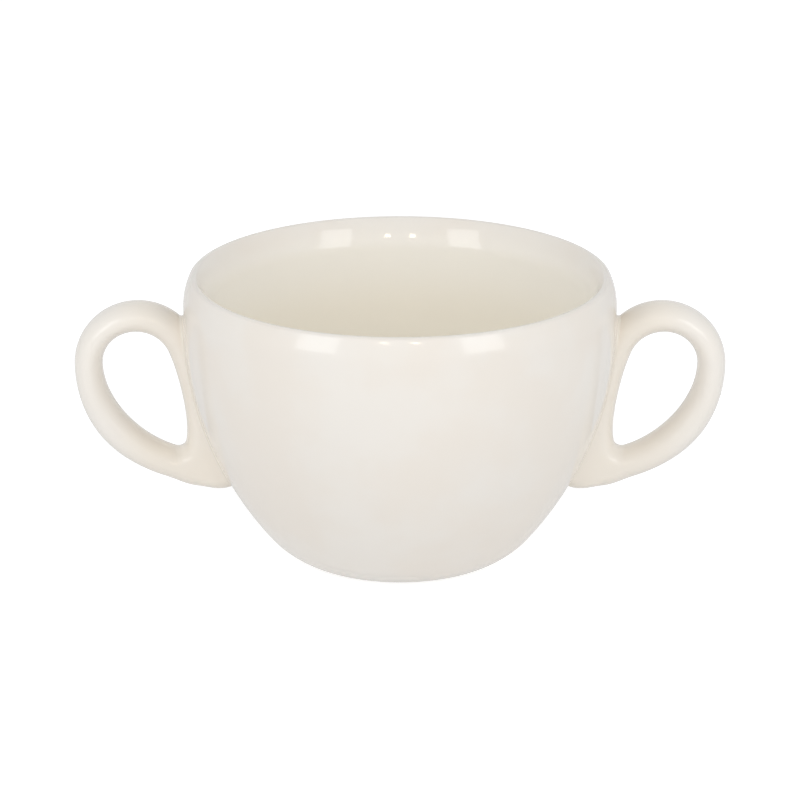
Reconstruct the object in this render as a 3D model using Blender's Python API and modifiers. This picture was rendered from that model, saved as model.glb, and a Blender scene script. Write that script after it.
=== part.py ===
"""Two-handled soup bowl in glazed porcelain.

The bowl is turned in one piece with its foot ring. Each handle is a cast ring of oval section,
cut to the curve of the wall and luted on along its whole back with a thin layer of slip.

Units are metres and +Z is up. The origin is the centre of the foot ring, on the plane that the
bowl stands on. The handles lie along the X axis.
"""

import math

import bmesh
import bpy

# Bowl, outside
FOOT_RADIUS = 0.0249        # outer edge of the foot ring
TOE_RADIUS = 0.0331         # radius where the low curve runs into the side
TOE_HEIGHT = 0.00595        # height of that place
SIDE_RISE = 0.05375         # height of the curved side, from the toe to the belly
BODY_RADIUS = 0.0525        # belly, the widest radius
BAND_HEIGHT = 0.0031        # upright band between the belly and the lip
LIP_CREST_RADIUS = 0.00106  # small rounding along the top of the lip
LIP_OUTER_WIDTH = 0.0025    # how far the lip leans in, from the band to its crest
LIP_OUTER_HEIGHT = 0.0075   # height of that lean
LIP_INNER_HEIGHT = 0.0083   # height of the lean on the lip's inner side

# Bowl, inside and underneath
WALL = 0.0061                   # between the belly's outside and inside
INNER_CORNER_RADIUS = 0.026     # sweep between the inner side and the floor
BASE_THICKNESS = 0.0055
FOOT_RECESS = 0.0022            # hollow inside the foot ring
FOOT_FACE_WIDTH = 0.0036        # flat ring that the bowl stands on
FOOT_LEAN = 0.0016              # how far the foot ring's inner side leans in

# Handle, in the plane through the bowl's axis
CROWN_OUT = 0.01157             # centre of the hole's round end, out from the belly
CROWN_DROP = 0.01209            # and down from the belly
CROWN_RADIUS = 0.00838
CORNER_OUT = 0.0082             # centre of the hole's low corner, out from the wall beside it
CORNER_DROP = 0.0315            # and down from the belly
CORNER_RADIUS = 0.0022
SIDE_THICKNESS = 0.0068         # thickness of the ring at its far side
TOP_THICKNESS = 0.0076          # at its top joint
LOW_THICKNESS = 0.00755         # at the end of its lower arm
WEB_THICKNESS = 0.0156          # at the low corner's web, most of it within the wall
WEB_SWELL = 0.002               # how much fuller the web is where it leaves the wall
WEB_SWELL_END = 0.55            # share of the low corner over which it is fuller
ARM_SWELL = 0.00085             # how much fuller the lower arm is at its middle
OVAL_THICKNESS = 0.0084         # a thicker section is flat between its two oval edges
FLAT_SPREAD = 0.35              # share of an oval's half thickness that the flat part takes up
HANDLE_DEPTH = 0.011            # across the ring

# Directions on the hole's two round ends, in degrees up from the outward axis
CROWN_START = 0.0
CROWN_END = 155.2
CORNER_START = 192.7
CORNER_END = 288.0

# Reach of the smooth curves between those ends, as shares of the distance between them
STRAP_REACH = (0.224, 0.238)
ARM_REACH = (0.33, 0.345)

# Slip joint
JOINT_GAP = 0.0003              # clearance on each side of the slip
SLIP_THICKNESS = 0.0005

# Steps of the meshes
TURN_STEPS = 64
CREST_STEPS = 3
FLANK_STEPS = 4
SIDE_STEPS = 12
TOE_STEPS = 5
INNER_STEPS = 10
STRETCH_STEPS = 10
SECTION_STEPS = 14
WELD_DISTANCE = 0.000001
SHARP_ANGLE = math.radians(35.0)

BELLY_HEIGHT = TOE_HEIGHT + SIDE_RISE
LIP_BASE = BELLY_HEIGHT + BAND_HEIGHT
RIM_HEIGHT = LIP_BASE + LIP_OUTER_HEIGHT
CREST_PLACE = BODY_RADIUS - LIP_OUTER_WIDTH
LIP_INNER_WIDTH = WALL - LIP_OUTER_WIDTH
FLOOR_HEIGHT = FOOT_RECESS + BASE_THICKNESS

# The side is an arc, upright at the belly, that passes through the toe
SIDE_INSET = BODY_RADIUS - TOE_RADIUS
SIDE_RADIUS = (SIDE_INSET ** 2 + SIDE_RISE ** 2) / (2.0 * SIDE_INSET)
SIDE_CENTRE = (BODY_RADIUS - SIDE_RADIUS, BELLY_HEIGHT)
TOE_ANGLE = math.asin(SIDE_RISE / SIDE_RADIUS)

IVORY_GLAZE = (0.85, 0.82, 0.75, 1.0)
CREAM_GLAZE = (0.80, 0.74, 0.62, 1.0)
SLIP_GLAZE = (0.82, 0.77, 0.67, 1.0)
GLAZE_ROUGHNESS = 0.18


def clear_scene():
    """Removes every object that the file opened with."""
    for old in list(bpy.data.objects):
        bpy.data.objects.remove(old, do_unlink=True)


def make_collection(name):
    """Adds a collection to the scene."""
    collection = bpy.data.collections.new(name)
    bpy.context.scene.collection.children.link(collection)
    return collection


def make_material(name, colour):
    """Returns a glossy glaze of one colour."""
    material = bpy.data.materials.new(name)
    material.use_nodes = True
    shader = material.node_tree.nodes["Principled BSDF"]
    shader.inputs["Base Color"].default_value = colour
    shader.inputs["Roughness"].default_value = GLAZE_ROUGHNESS
    shader.inputs["Metallic"].default_value = 0.0
    return material


def circle_arc(centre, radius, start, end, steps):
    """Returns points on a circle from one angle to another, both ends included."""
    points = []
    for step in range(steps + 1):
        angle = start + (end - start) * step / steps
        points.append((centre[0] + radius * math.cos(angle),
                       centre[1] + radius * math.sin(angle)))
    return points


def toe_arc(offset):
    """Returns the low curve, which leaves the side smoothly and ends at the foot's edge."""
    normal = (-math.cos(TOE_ANGLE), math.sin(TOE_ANGLE))
    reach = (TOE_RADIUS - FOOT_RADIUS, TOE_HEIGHT)
    lean = normal[0] * reach[0] + normal[1] * reach[1]
    radius = -(reach[0] ** 2 + reach[1] ** 2) / (2.0 * lean)
    centre = (TOE_RADIUS + normal[0] * radius, TOE_HEIGHT + normal[1] * radius)
    flip = math.pi if radius < 0.0 else 0.0
    start = -TOE_ANGLE + flip
    end = math.atan2(-centre[1], FOOT_RADIUS - centre[0])
    sweep = (end - start + math.pi) % (2.0 * math.pi) - math.pi
    return circle_arc(centre, abs(radius + offset), start, start + sweep, TOE_STEPS)


def lip_side(width, height, offset):
    """Returns one side of the lip from its crest down, as distances out from the crest and heights.

    The flank is an arc, upright at its foot, that runs smoothly into the crest's small arc.
    """
    crest_drop = height - LIP_CREST_RADIUS
    reach = width ** 2 + crest_drop ** 2 - LIP_CREST_RADIUS ** 2
    flank_radius = reach / (2.0 * (width - LIP_CREST_RADIUS))
    meeting_angle = math.atan2(crest_drop, flank_radius - width)
    crest_centre = (0.0, RIM_HEIGHT - LIP_CREST_RADIUS)
    flank_centre = (width - flank_radius, RIM_HEIGHT - height)
    crest = circle_arc(crest_centre, LIP_CREST_RADIUS + offset, math.pi / 2.0, meeting_angle, CREST_STEPS)
    flank = circle_arc(flank_centre, flank_radius + offset, meeting_angle, 0.0, FLANK_STEPS)
    return crest + flank[1:]


def outer_profile(offset):
    """Returns the bowl's outside from the lip's crest to the foot's edge, grown by an offset."""
    lip_points = lip_side(LIP_OUTER_WIDTH, LIP_OUTER_HEIGHT, offset)
    lip = [(CREST_PLACE + out, height) for out, height in lip_points]
    side = circle_arc(SIDE_CENTRE, SIDE_RADIUS + offset, 0.0, -TOE_ANGLE, SIDE_STEPS)
    return lip + side + toe_arc(offset)[1:]


def inner_profile():
    """Returns the bowl's inside from the floor's centre to just short of the lip's crest."""
    inner_radius = SIDE_RADIUS - WALL
    rise = SIDE_CENTRE[1] - FLOOR_HEIGHT - INNER_CORNER_RADIUS
    run = math.sqrt((inner_radius - INNER_CORNER_RADIUS) ** 2 - rise ** 2)
    corner_centre = (SIDE_CENTRE[0] + run, FLOOR_HEIGHT + INNER_CORNER_RADIUS)
    meeting_angle = -math.atan2(rise, run)
    corner = circle_arc(corner_centre, INNER_CORNER_RADIUS, -math.pi / 2.0, meeting_angle, INNER_STEPS)
    side = circle_arc(SIDE_CENTRE, inner_radius, meeting_angle, 0.0, SIDE_STEPS)
    lip_points = lip_side(LIP_INNER_WIDTH, LIP_INNER_HEIGHT, 0.0)
    lip = [(CREST_PLACE - out, height) for out, height in lip_points]
    return [(0.0, FLOOR_HEIGHT)] + corner + side[1:] + lip[:0:-1]


def foot_profile():
    """Returns the underside from the foot's flat face to the centre of its hollow."""
    face_inner = FOOT_RADIUS - FOOT_FACE_WIDTH
    return [(face_inner, 0.0), (face_inner - FOOT_LEAN, FOOT_RECESS), (0.0, FOOT_RECESS)]


def outer_radius(height):
    """Returns the radius of the curved side at a height."""
    drop = SIDE_CENTRE[1] - height
    return SIDE_CENTRE[0] + math.sqrt(SIDE_RADIUS ** 2 - drop ** 2)


def turned(name, profile, collection, closed):
    """Turns a profile round the Z axis with a Screw modifier."""
    mesh = bpy.data.meshes.new(name)
    points = [(radius, 0.0, height) for radius, height in profile]
    edges = [(index, index + 1) for index in range(len(points) - 1)]
    if closed:
        edges.append((len(points) - 1, 0))
    mesh.from_pydata(points, edges, [])
    piece = bpy.data.objects.new(name, mesh)
    collection.objects.link(piece)
    screw = piece.modifiers.new("turn", "SCREW")
    screw.axis = "Z"
    screw.angle = 2.0 * math.pi
    screw.steps = TURN_STEPS
    screw.render_steps = TURN_STEPS
    screw.use_merge_vertices = True
    screw.merge_threshold = WELD_DISTANCE
    screw.use_smooth_shade = True
    return piece


def as_cutter(piece):
    """Marks a piece as a cutter, which isn't part of the object."""
    piece.hide_render = True
    piece.display_type = "WIRE"
    return piece


def make_bowl(collection):
    """Makes the bowl with its lip, floor and foot ring."""
    profile = inner_profile() + outer_profile(0.0) + foot_profile()
    bowl = turned("bowl", profile, collection, closed=False)
    bowl.data.materials.append(make_material("ivory_glazed_porcelain", IVORY_GLAZE))
    return bowl


def make_envelope(offset, collection):
    """Makes a solid of the bowl's whole outside, grown by an offset."""
    outside = outer_profile(offset)
    profile = [(0.0, outside[0][1])] + outside + [(0.0, outside[-1][1])]
    return as_cutter(turned("envelope", profile, collection, closed=False))


def make_slip_shell(collection):
    """Makes the thin turned shell that the slip fills between a handle and the wall."""
    outside = outer_profile(JOINT_GAP + SLIP_THICKNESS)
    inside = outer_profile(JOINT_GAP)
    return as_cutter(turned("slip_shell", outside + inside[::-1], collection, closed=True))


def direction(angle):
    """Returns the unit vector at an angle in degrees."""
    return (math.cos(math.radians(angle)), math.sin(math.radians(angle)))


def ease(share):
    """Goes from 0 to 1 with a level start and end."""
    return 0.5 - 0.5 * math.cos(math.pi * share)


def round_end(centre, radius, start, end):
    """Returns points and outward normals round one end of the hole."""
    stretch = []
    for step in range(STRETCH_STEPS):
        normal = direction(start + (end - start) * step / STRETCH_STEPS)
        stretch.append(((centre[0] + radius * normal[0], centre[1] + radius * normal[1]), normal))
    return stretch


def smooth_side(start, start_angle, end, end_angle, reach):
    """Returns points and outward normals on a cubic curve between the hole's two ends."""
    span = math.dist(start, end)
    leave = direction(start_angle + 90.0)
    arrive = direction(end_angle + 90.0)
    corners = (start,
               (start[0] + leave[0] * reach[0] * span, start[1] + leave[1] * reach[0] * span),
               (end[0] - arrive[0] * reach[1] * span, end[1] - arrive[1] * reach[1] * span),
               end)
    stretch = []
    for step in range(STRETCH_STEPS):
        share = step / STRETCH_STEPS
        rest = 1.0 - share
        weights = (rest ** 3, 3.0 * rest ** 2 * share, 3.0 * rest * share ** 2, share ** 3)
        slopes = (-rest ** 2, rest ** 2 - 2.0 * rest * share, 2.0 * rest * share - share ** 2, share ** 2)
        point = tuple(sum(w * c[axis] for w, c in zip(weights, corners)) for axis in (0, 1))
        slope = tuple(sum(s * c[axis] for s, c in zip(slopes, corners)) for axis in (0, 1))
        length = math.hypot(*slope)
        stretch.append((point, (slope[1] / length, -slope[0] / length)))
    return stretch


def ring_stations():
    """Returns the handle's stations round its hole: a hole point, its normal and a thickness."""
    crown = (BODY_RADIUS + CROWN_OUT, BELLY_HEIGHT - CROWN_DROP)
    corner_height = BELLY_HEIGHT - CORNER_DROP
    corner = (outer_radius(corner_height) + CORNER_OUT, corner_height)

    def on_end(centre, radius, angle):
        return (centre[0] + radius * direction(angle)[0], centre[1] + radius * direction(angle)[1])

    crown_stretch = round_end(crown, CROWN_RADIUS, CROWN_START, CROWN_END)
    strap_stretch = smooth_side(on_end(crown, CROWN_RADIUS, CROWN_END), CROWN_END,
                                on_end(corner, CORNER_RADIUS, CORNER_START), CORNER_START, STRAP_REACH)
    corner_stretch = round_end(corner, CORNER_RADIUS, CORNER_START, CORNER_END)
    arm_stretch = smooth_side(on_end(corner, CORNER_RADIUS, CORNER_END), CORNER_END,
                              on_end(crown, CROWN_RADIUS, CROWN_START), CROWN_START, ARM_REACH)

    stretches = ((crown_stretch, SIDE_THICKNESS, TOP_THICKNESS, 0.0, 1.0),
                 (strap_stretch, TOP_THICKNESS, WEB_THICKNESS, 0.0, 1.0),
                 (corner_stretch, WEB_THICKNESS, LOW_THICKNESS, WEB_SWELL, WEB_SWELL_END),
                 (arm_stretch, LOW_THICKNESS, SIDE_THICKNESS, ARM_SWELL, 1.0))
    stations = []
    for stretch, first, last, swell, swell_end in stretches:
        for step, (point, normal) in enumerate(stretch):
            share = step / STRETCH_STEPS
            fullness = math.sin(math.pi * min(1.0, share / swell_end)) ** 2
            thickness = first + (last - first) * ease(share) + swell * fullness
            stations.append((point, normal, thickness))
    return stations


def section_reach(thickness, turn):
    """Returns how far a section's point lies from the hole: oval at both edges, flat between them.

    The turn is 1 on the section's outer side and -1 on the hole's side.
    """
    oval = min(thickness, OVAL_THICKNESS)
    part = min(1.0, max(0.0, 0.5 + 0.5 * turn / FLAT_SPREAD))
    return 0.5 * oval * (1.0 + turn) + (thickness - oval) * part ** 2 * (3.0 - 2.0 * part)


def make_ring_mesh():
    """Lofts the handle's sections into one closed ring, along +X."""
    builder = bmesh.new()
    rings = []
    for (hole_out, hole_up), (normal_out, normal_up), thickness in ring_stations():
        ring = []
        for step in range(SECTION_STEPS):
            angle = 2.0 * math.pi * step / SECTION_STEPS
            reach = section_reach(thickness, math.cos(angle))
            across = 0.5 * HANDLE_DEPTH * math.sin(angle)
            place = (hole_out + normal_out * reach, across, hole_up + normal_up * reach)
            ring.append(builder.verts.new(place))
        rings.append(ring)
    for index, ring in enumerate(rings):
        following = rings[(index + 1) % len(rings)]
        for step in range(SECTION_STEPS):
            ahead = (step + 1) % SECTION_STEPS
            builder.faces.new((ring[step], ring[ahead], following[ahead], following[step]))
    bmesh.ops.recalc_face_normals(builder, faces=builder.faces)
    mesh = bpy.data.meshes.new("handle_ring")
    builder.to_mesh(mesh)
    builder.free()
    mesh.shade_smooth()
    mesh.set_sharp_from_angle(angle=SHARP_ANGLE)
    return mesh


def make_fitted_ring(name, ring_mesh, turn, cutter, operation, material, collection):
    """Makes one piece of a handle's ring, turned to its side and cut to the bowl."""
    piece = bpy.data.objects.new(name, ring_mesh.copy())
    collection.objects.link(piece)
    piece.rotation_euler.z = turn
    fit = piece.modifiers.new("fit_to_wall", "BOOLEAN")
    fit.operation = operation
    fit.solver = "EXACT"
    fit.object = cutter
    piece.data.materials.append(material)
    return piece


def main():
    """Builds the bowl, its two handles and the slip that joins them."""
    clear_scene()
    parts = make_collection("two_handled_soup_bowl")
    cutters = make_collection("cutters")
    make_bowl(parts)
    envelope = make_envelope(2.0 * JOINT_GAP + SLIP_THICKNESS, cutters)
    slip_shell = make_slip_shell(cutters)
    ring_mesh = make_ring_mesh()
    for side, turn in (("right", 0.0), ("left", math.pi)):
        handle_glaze = make_material(side + "_cream_glazed_porcelain", CREAM_GLAZE)
        slip_glaze = make_material(side + "_glazed_slip", SLIP_GLAZE)
        make_fitted_ring(side + "_handle", ring_mesh, turn, envelope, "DIFFERENCE", handle_glaze, parts)
        make_fitted_ring(side + "_slip_seam", ring_mesh, turn, slip_shell, "INTERSECT", slip_glaze, parts)


main()
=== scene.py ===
"""Soup bowl studio.

Dresses the two-handled soup bowl in ivory and cream glaze and sets it in a plain white studio.
The bowl is turned from its profile, each handle is lofted through oval sections and trimmed to
the wall, and a small fillet of glazed slip runs round each joint. Units are metres, +Z is up.
"""

import math

import bmesh
import bpy
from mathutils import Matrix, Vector


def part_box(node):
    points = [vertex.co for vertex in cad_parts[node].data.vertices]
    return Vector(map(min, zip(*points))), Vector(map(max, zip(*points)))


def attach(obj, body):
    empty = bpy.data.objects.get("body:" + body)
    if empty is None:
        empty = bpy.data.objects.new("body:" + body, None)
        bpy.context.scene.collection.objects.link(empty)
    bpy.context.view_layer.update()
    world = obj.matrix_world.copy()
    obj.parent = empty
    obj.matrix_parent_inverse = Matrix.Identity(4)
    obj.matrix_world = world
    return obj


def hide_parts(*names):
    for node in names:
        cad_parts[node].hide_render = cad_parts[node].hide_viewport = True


bl_info = {
    "name": "Soup Bowl Studio",
    "version": (1, 0, 0),
    "blender": (4, 5, 0),
    "location": "View3D > Sidebar > Soup Bowl",
    "description": "Models a two-handled soup bowl in glazed porcelain and its white studio",
    "category": "Add Mesh",
}

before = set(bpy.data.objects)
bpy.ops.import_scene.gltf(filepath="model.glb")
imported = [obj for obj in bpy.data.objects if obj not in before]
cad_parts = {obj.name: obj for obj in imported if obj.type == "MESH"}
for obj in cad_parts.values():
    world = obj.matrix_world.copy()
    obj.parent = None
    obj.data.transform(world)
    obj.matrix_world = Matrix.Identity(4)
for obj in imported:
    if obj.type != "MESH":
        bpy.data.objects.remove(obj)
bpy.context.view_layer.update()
BOWL_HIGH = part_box("bowl")[1]

# Handle
WEB_SWELL_END = 0.55            # share of the low corner over which the web is fuller underneath
FLAT_SPREAD = 0.35              # share of an oval's half thickness that its flat stretch takes up
SEAM_SEARCH = (0.3, 3.5)        # places round the handle between which it meets the wall

# Studio
RING_START = (math.radians(12.0), math.radians(28.0))   # heights where the sky's ring of light begins
RING_END = (math.radians(42.0), math.radians(58.0))     # and where it gives way to the ceiling
BACK_FADE = (-0.1, 0.7)         # from front to back, where the light from behind grows weaker
STRIP_SIZE = (0.15, 0.257)      # metres, two upright soft strips
STRIP_PLACE = (0.27, -0.30, 0.2235)     # of the right one, which the left one mirrors
SPOT_SIZE = (0.05, 0.05)        # metres, two small round lamps over the viewer
SPOT_PLACE = (0.088, -0.62, 0.39)       # of the right one
SPOT_AIM = 0.066                # height on the bowl's axis that they face
SENSOR_WIDTH = 36.0             # millimetres
PHOTO_WIDTH = 800               # pixels across the picture that the camera is matched to

# Steps of the meshes
TURN_STEPS = 384                # round the bowl
FLOOR_RINGS = (0.5, 0.85, 0.97)     # shares of the flat floor's radius
CORNER_STEPS = 22
SIDE_STEPS = 44
FLANK_STEPS = 16
SLOPE_STEPS = 10                # along each arc of the lip's inner side
CREST_STEPS = 12
TOE_STEPS = 16
STRETCH_STEPS = (46, 36, 30, 40)    # sections of the handle's crown, strap, corner and arm
SECTION_STEPS = 56                  # points round one section
SEAM_STEPS = 110                    # stations down one side of a seam
FILLET_STEPS = 7
FOOT_EDGE_STEPS = 4

# Modelling
SEARCH_STEPS = 400              # in which a handle's joint is looked for
HALVINGS = 48                   # of a range, to find where a function changes its sign
NORMAL_STEP = 0.002             # places or radians to the points that a normal is measured from
START_SIZE = 0.01               # metres, a primitive before it is shaped
EDGE_TOLERANCE = 0.00005        # metres, how near an edge lies to the ring it belongs to
WELD_DISTANCE = 0.000001        # metres
SMOOTH_ANGLE = math.radians(40.0)


def hex_colour(code):
    """Turns an sRGB hex colour into linear values with full alpha."""
    linear = []
    for start in (1, 3, 5):
        part = int(code[start:start + 2], 16) / 255.0
        linear.append(part / 12.92 if part <= 0.04045 else ((part + 0.055) / 1.055) ** 2.4)
    return (*linear, 1.0)


def length(name, description, default):
    """Returns a property that holds a length in metres."""
    return bpy.props.FloatProperty(name=name, description=description, default=default, min=0.0,
                                   precision=5, subtype="DISTANCE", unit="LENGTH")


def degrees(name, description, default):
    """Returns a property that holds an angle, given here in degrees."""
    return bpy.props.FloatProperty(name=name, description=description, default=math.radians(default),
                                   subtype="ANGLE", unit="ROTATION")


def share(name, description, default):
    """Returns a property that holds a share from 0 to 1."""
    return bpy.props.FloatProperty(name=name, description=description, default=default, min=0.0,
                                   max=1.0, subtype="FACTOR")


def level(name, description, default):
    """Returns a property that holds a brightness."""
    return bpy.props.FloatProperty(name=name, description=description, default=default, min=0.0)


def colour(name, description, code):
    """Returns a property that holds a colour, given as an sRGB hex value."""
    return bpy.props.FloatVectorProperty(name=name, description=description, default=hex_colour(code),
                                         size=4, min=0.0, max=1.0, subtype="COLOR")


class SoupBowlBodySizes(bpy.types.PropertyGroup):
    """Sizes of the turned body."""
    rim_height: length("Rim height", "Height of the lip's crest over the table", BOWL_HIGH.z)
    body_radius: length("Body radius", "Radius of the belly, the widest part", BOWL_HIGH.y)
    belly_height: length("Belly height", "Height where the curved side turns upright", 0.0597)
    toe_radius: length("Toe radius", "Radius where the low curve runs into the side", 0.0331)
    toe_height: length("Toe height", "Height of that place", 0.00595)
    foot_radius: length("Foot radius", "Outer edge of the foot ring", 0.0249)
    foot_face: length("Foot face", "Width of the flat ring that the bowl stands on", 0.0036)
    foot_lean: length("Foot lean", "How far the foot ring's inner side leans in", 0.0016)
    foot_recess: length("Foot recess", "Depth of the hollow inside the foot ring", 0.0022)
    foot_edge: length("Foot edge", "Rounding of the foot ring's two edges", 0.00045)
    lip_crest: length("Lip crest", "Radius of the small rounding along the lip", 0.00106)
    lip_outer_width: length("Outer lean", "How far the lip leans in outside", 0.0025)
    lip_outer_height: length("Outer lean height", "Height of that lean", 0.0075)
    lip_inner_height: length("Inner lean height", "Height of the lean on the inside", 0.0083)
    shoulder_lean: degrees("Shoulder lean", "Lean where the crest meets the lip's inner side", 36.0)
    slope_lean: degrees("Slope lean", "Lean at the top of the nearly straight slope inside", 24.0)
    slope_end_lean: degrees("Slope end lean", "Lean at the foot of that slope", 20.8)
    slope_radius: length("Slope radius", "Radius of the slope's slight curve", 0.045)
    wall: length("Wall", "Thickness of the wall at the belly", 0.0061)
    floor_height: length("Floor height", "Height of the inside floor over the table", 0.0077)
    inner_corner: length("Inner corner", "Radius between the inner side and the floor", 0.026)


class SoupBowlHandleSizes(bpy.types.PropertyGroup):
    """Sizes of one handle, in the plane through the bowl's axis."""
    crown_out: length("Crown out", "Centre of the hole's round end, out from the belly", 0.01157)
    crown_drop: length("Crown drop", "Centre of the hole's round end, down from the belly", 0.01209)
    crown_radius: length("Crown radius", "Radius of the hole's round end", 0.00838)
    crown_end: degrees("Crown end", "Direction where the round end turns into the strap", 155.2)
    corner_out: length("Corner out", "Centre of the hole's low corner, out from the wall", 0.0082)
    corner_drop: length("Corner drop", "Centre of the hole's low corner, down from the belly", 0.0315)
    corner_radius: length("Corner radius", "Radius of the hole's low corner", 0.0022)
    corner_start: degrees("Corner start", "Direction where the strap reaches the corner", 192.7)
    corner_end: degrees("Corner end", "Direction where the corner turns into the arm", 288.0)
    strap_leave: share("Strap leave", "Reach of the strap's curve at its top", 0.224)
    strap_arrive: share("Strap arrive", "Reach of the strap's curve at its foot", 0.238)
    arm_leave: share("Arm leave", "Reach of the lower arm's curve at the corner", 0.33)
    arm_arrive: share("Arm arrive", "Reach of the lower arm's curve at the far side", 0.345)
    side_thickness: length("Side thickness", "Thickness of the ring at its far side", 0.0068)
    top_thickness: length("Top thickness", "Thickness of the ring at its top joint", 0.0076)
    web_thickness: length("Web thickness", "Thickness at the low corner, most of it in the wall", 0.0156)
    web_swell: length("Web swell", "How much fuller the web is where it leaves the wall", 0.002)
    low_thickness: length("Low thickness", "Thickness at the end of the lower arm", 0.00755)
    arm_swell: length("Arm swell", "How much fuller the lower arm is at its middle", 0.00085)
    oval_thickness: length("Oval thickness", "Thickness above which a section is flat-sided", 0.0084)
    depth: length("Depth", "Size of the ring from front to back", 0.011)
    bedding: length("Bedding", "Slip left between the ring's cut back and the wall", 0.00006)
    fillet: length("Fillet", "Radius of the slip's fillet round the joint", 0.00065)
    overlap: length("Overlap", "How far the fillet's edges sink into its neighbours", 0.00004)


class SoupBowlGlazes(bpy.types.PropertyGroup):
    """Colours of the glazes and the bare porcelain."""
    ivory: colour("Ivory", "Glaze on the body", "#F3EFE9")
    ivory_deep: colour("Deep ivory", "Body glaze where it is a little thicker", "#F2ECE4")
    # Painted light: a lighter inside tone below the lip, standing in for fill light
    ivory_painted_fill: colour("Painted-fill ivory", "Body glaze inside below the lip, painted lighter as fill light", "#FBF8F1")
    # Painted light: a lighter, warmer tone low inside, standing in for warm bounce light
    ivory_painted_warm_fill: colour("Painted warm-fill ivory", "Body glaze low inside, painted lighter and warmer as bounce light", "#F6F1E5")
    cream: colour("Cream", "Glaze on the handles", "#F7F3ED")
    # Partly painted shade: the deeper tone is also used for painted warm shade near the wall
    cream_deep_and_shaded: colour("Deep cream", "Handle glaze where it is thicker, and painted warm shade near the wall", "#F7F0E5")
    # Partly painted shade: the crease tone is part run-together glaze, part painted shade
    groove_glaze_and_shade: colour("Groove", "Glaze over the slip, darker mid-crease as run-together glaze and painted shade", "#EFE8DC")
    bisque: colour("Bare porcelain", "Wiped ring under the foot", "#E3DFD6")


class SoupBowlStudio(bpy.types.PropertyGroup):
    """The floor, the light and the camera."""
    floor_half: length("Floor half width", "Half the width of the white floor", 3.0)
    floor_glow: level("Floor glow", "Light that the lit table gives from below", 0.33)
    floor_shown: level("Floor shown", "The same as the viewer sees it, lifted to white", 0.72)
    ring_level: level("Ring level", "Soft light from all round, a third of the way up", 1.26)
    low_level: level("Low level", "Soft light from near the horizon", 0.51)
    ceiling_level: level("Ceiling level", "Soft light from overhead", 0.27)
    back_share: share("Back share", "How much of the soft light also comes from behind", 0.6)
    sky_mirrored: share("Sky mirrored", "How much of the background's white the glaze mirrors", 0.85)
    floor_mirrored: share("Floor mirrored", "How much of the floor's white the glaze mirrors", 0.2)
    strip_level: level("Strip level", "Power of each upright soft strip, in watts", 0.265)
    spot_level: level("Spot level", "Power of each small warm lamp, in watts", 0.080)
    view_elevation: degrees("View elevation", "How far the camera looks down", 18.84)
    view_distance: length("View distance", "From the camera to its aim", 0.95)
    aim_height: length("Aim height", "Height of the camera's aim on the bowl's axis", 0.03806)
    view_pixels: level("View pixels", "Focal length in pixels of the picture", 3886.0)
    floor_white: colour("Floor", "The floor and the background", "#FFFFFF")
    strip_white: colour("Strip light", "Light of the soft strips", "#FFFFFF")
    spot_warm: colour("Spot light", "Light of the small lamps", "#FFEFD2")


def direction(angle):
    """Returns the unit vector at an angle up from the outward axis."""
    return (math.cos(angle), math.sin(angle))


def on_circle(centre, radius, angle):
    """Returns a point on a circle and the circle's outward normal there."""
    normal = direction(angle)
    return (centre[0] + radius * normal[0], centre[1] + radius * normal[1]), normal


def arc(centre, radius, start, end, steps):
    """Returns points on a circle from one angle to another, both ends included."""
    angles = [start + (end - start) * step / steps for step in range(steps + 1)]
    return [on_circle(centre, radius, angle)[0] for angle in angles]


def side_circle(body):
    """Returns the radius and the centre of the arc that the body's side follows."""
    inset = body.body_radius - body.toe_radius
    rise = body.belly_height - body.toe_height
    radius = (inset ** 2 + rise ** 2) / (2.0 * inset)
    return radius, (body.body_radius - radius, body.belly_height)


def lip_outside(body):
    """Returns the lip's outer side from its crest down, as distances from the crest and heights."""
    width = body.lip_outer_width
    height = body.lip_outer_height
    crest_drop = height - body.lip_crest
    flank_radius = (width ** 2 + crest_drop ** 2 - body.lip_crest ** 2) / (2.0 * (width - body.lip_crest))
    meeting = math.atan2(crest_drop, flank_radius - width)
    crest_centre = (0.0, body.rim_height - body.lip_crest)
    flank_centre = (width - flank_radius, body.rim_height - height)
    crest = arc(crest_centre, body.lip_crest, math.pi / 2.0, meeting, CREST_STEPS)
    return crest + arc(flank_centre, flank_radius, meeting, 0.0, FLANK_STEPS)[1:]


def lip_inside(body):
    """Returns the lip's inner side from its crest down, as distances from the crest and heights.

    The crest runs through a shoulder into a nearly straight slope and then out into the wall. The
    shoulder's and the last arc's radii are those that end at the wall.
    """
    leans = (math.pi / 2.0, body.shoulder_lean, body.slope_lean, body.slope_end_lean, 0.0)
    inward = [math.cos(end) - math.cos(start) for start, end in zip(leans, leans[1:])]
    down = [math.sin(start) - math.sin(end) for start, end in zip(leans, leans[1:])]
    width = body.wall - body.lip_outer_width - body.lip_crest * inward[0] - body.slope_radius * inward[2]
    drop = body.lip_inner_height - body.lip_crest * down[0] - body.slope_radius * down[2]
    area = inward[1] * down[3] - inward[3] * down[1]
    shoulder = (width * down[3] - drop * inward[3]) / area
    run_out = (drop * inward[1] - width * down[1]) / area
    place = (0.0, body.rim_height)
    points = [place]
    for index, radius in enumerate((body.lip_crest, shoulder, body.slope_radius, run_out)):
        start = leans[index]
        centre = on_circle(place, -radius, start)[0]
        steps = CREST_STEPS if index == 0 else SLOPE_STEPS
        points += arc(centre, radius, start, leans[index + 1], steps)[1:]
        place = points[-1]
    return points


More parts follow.
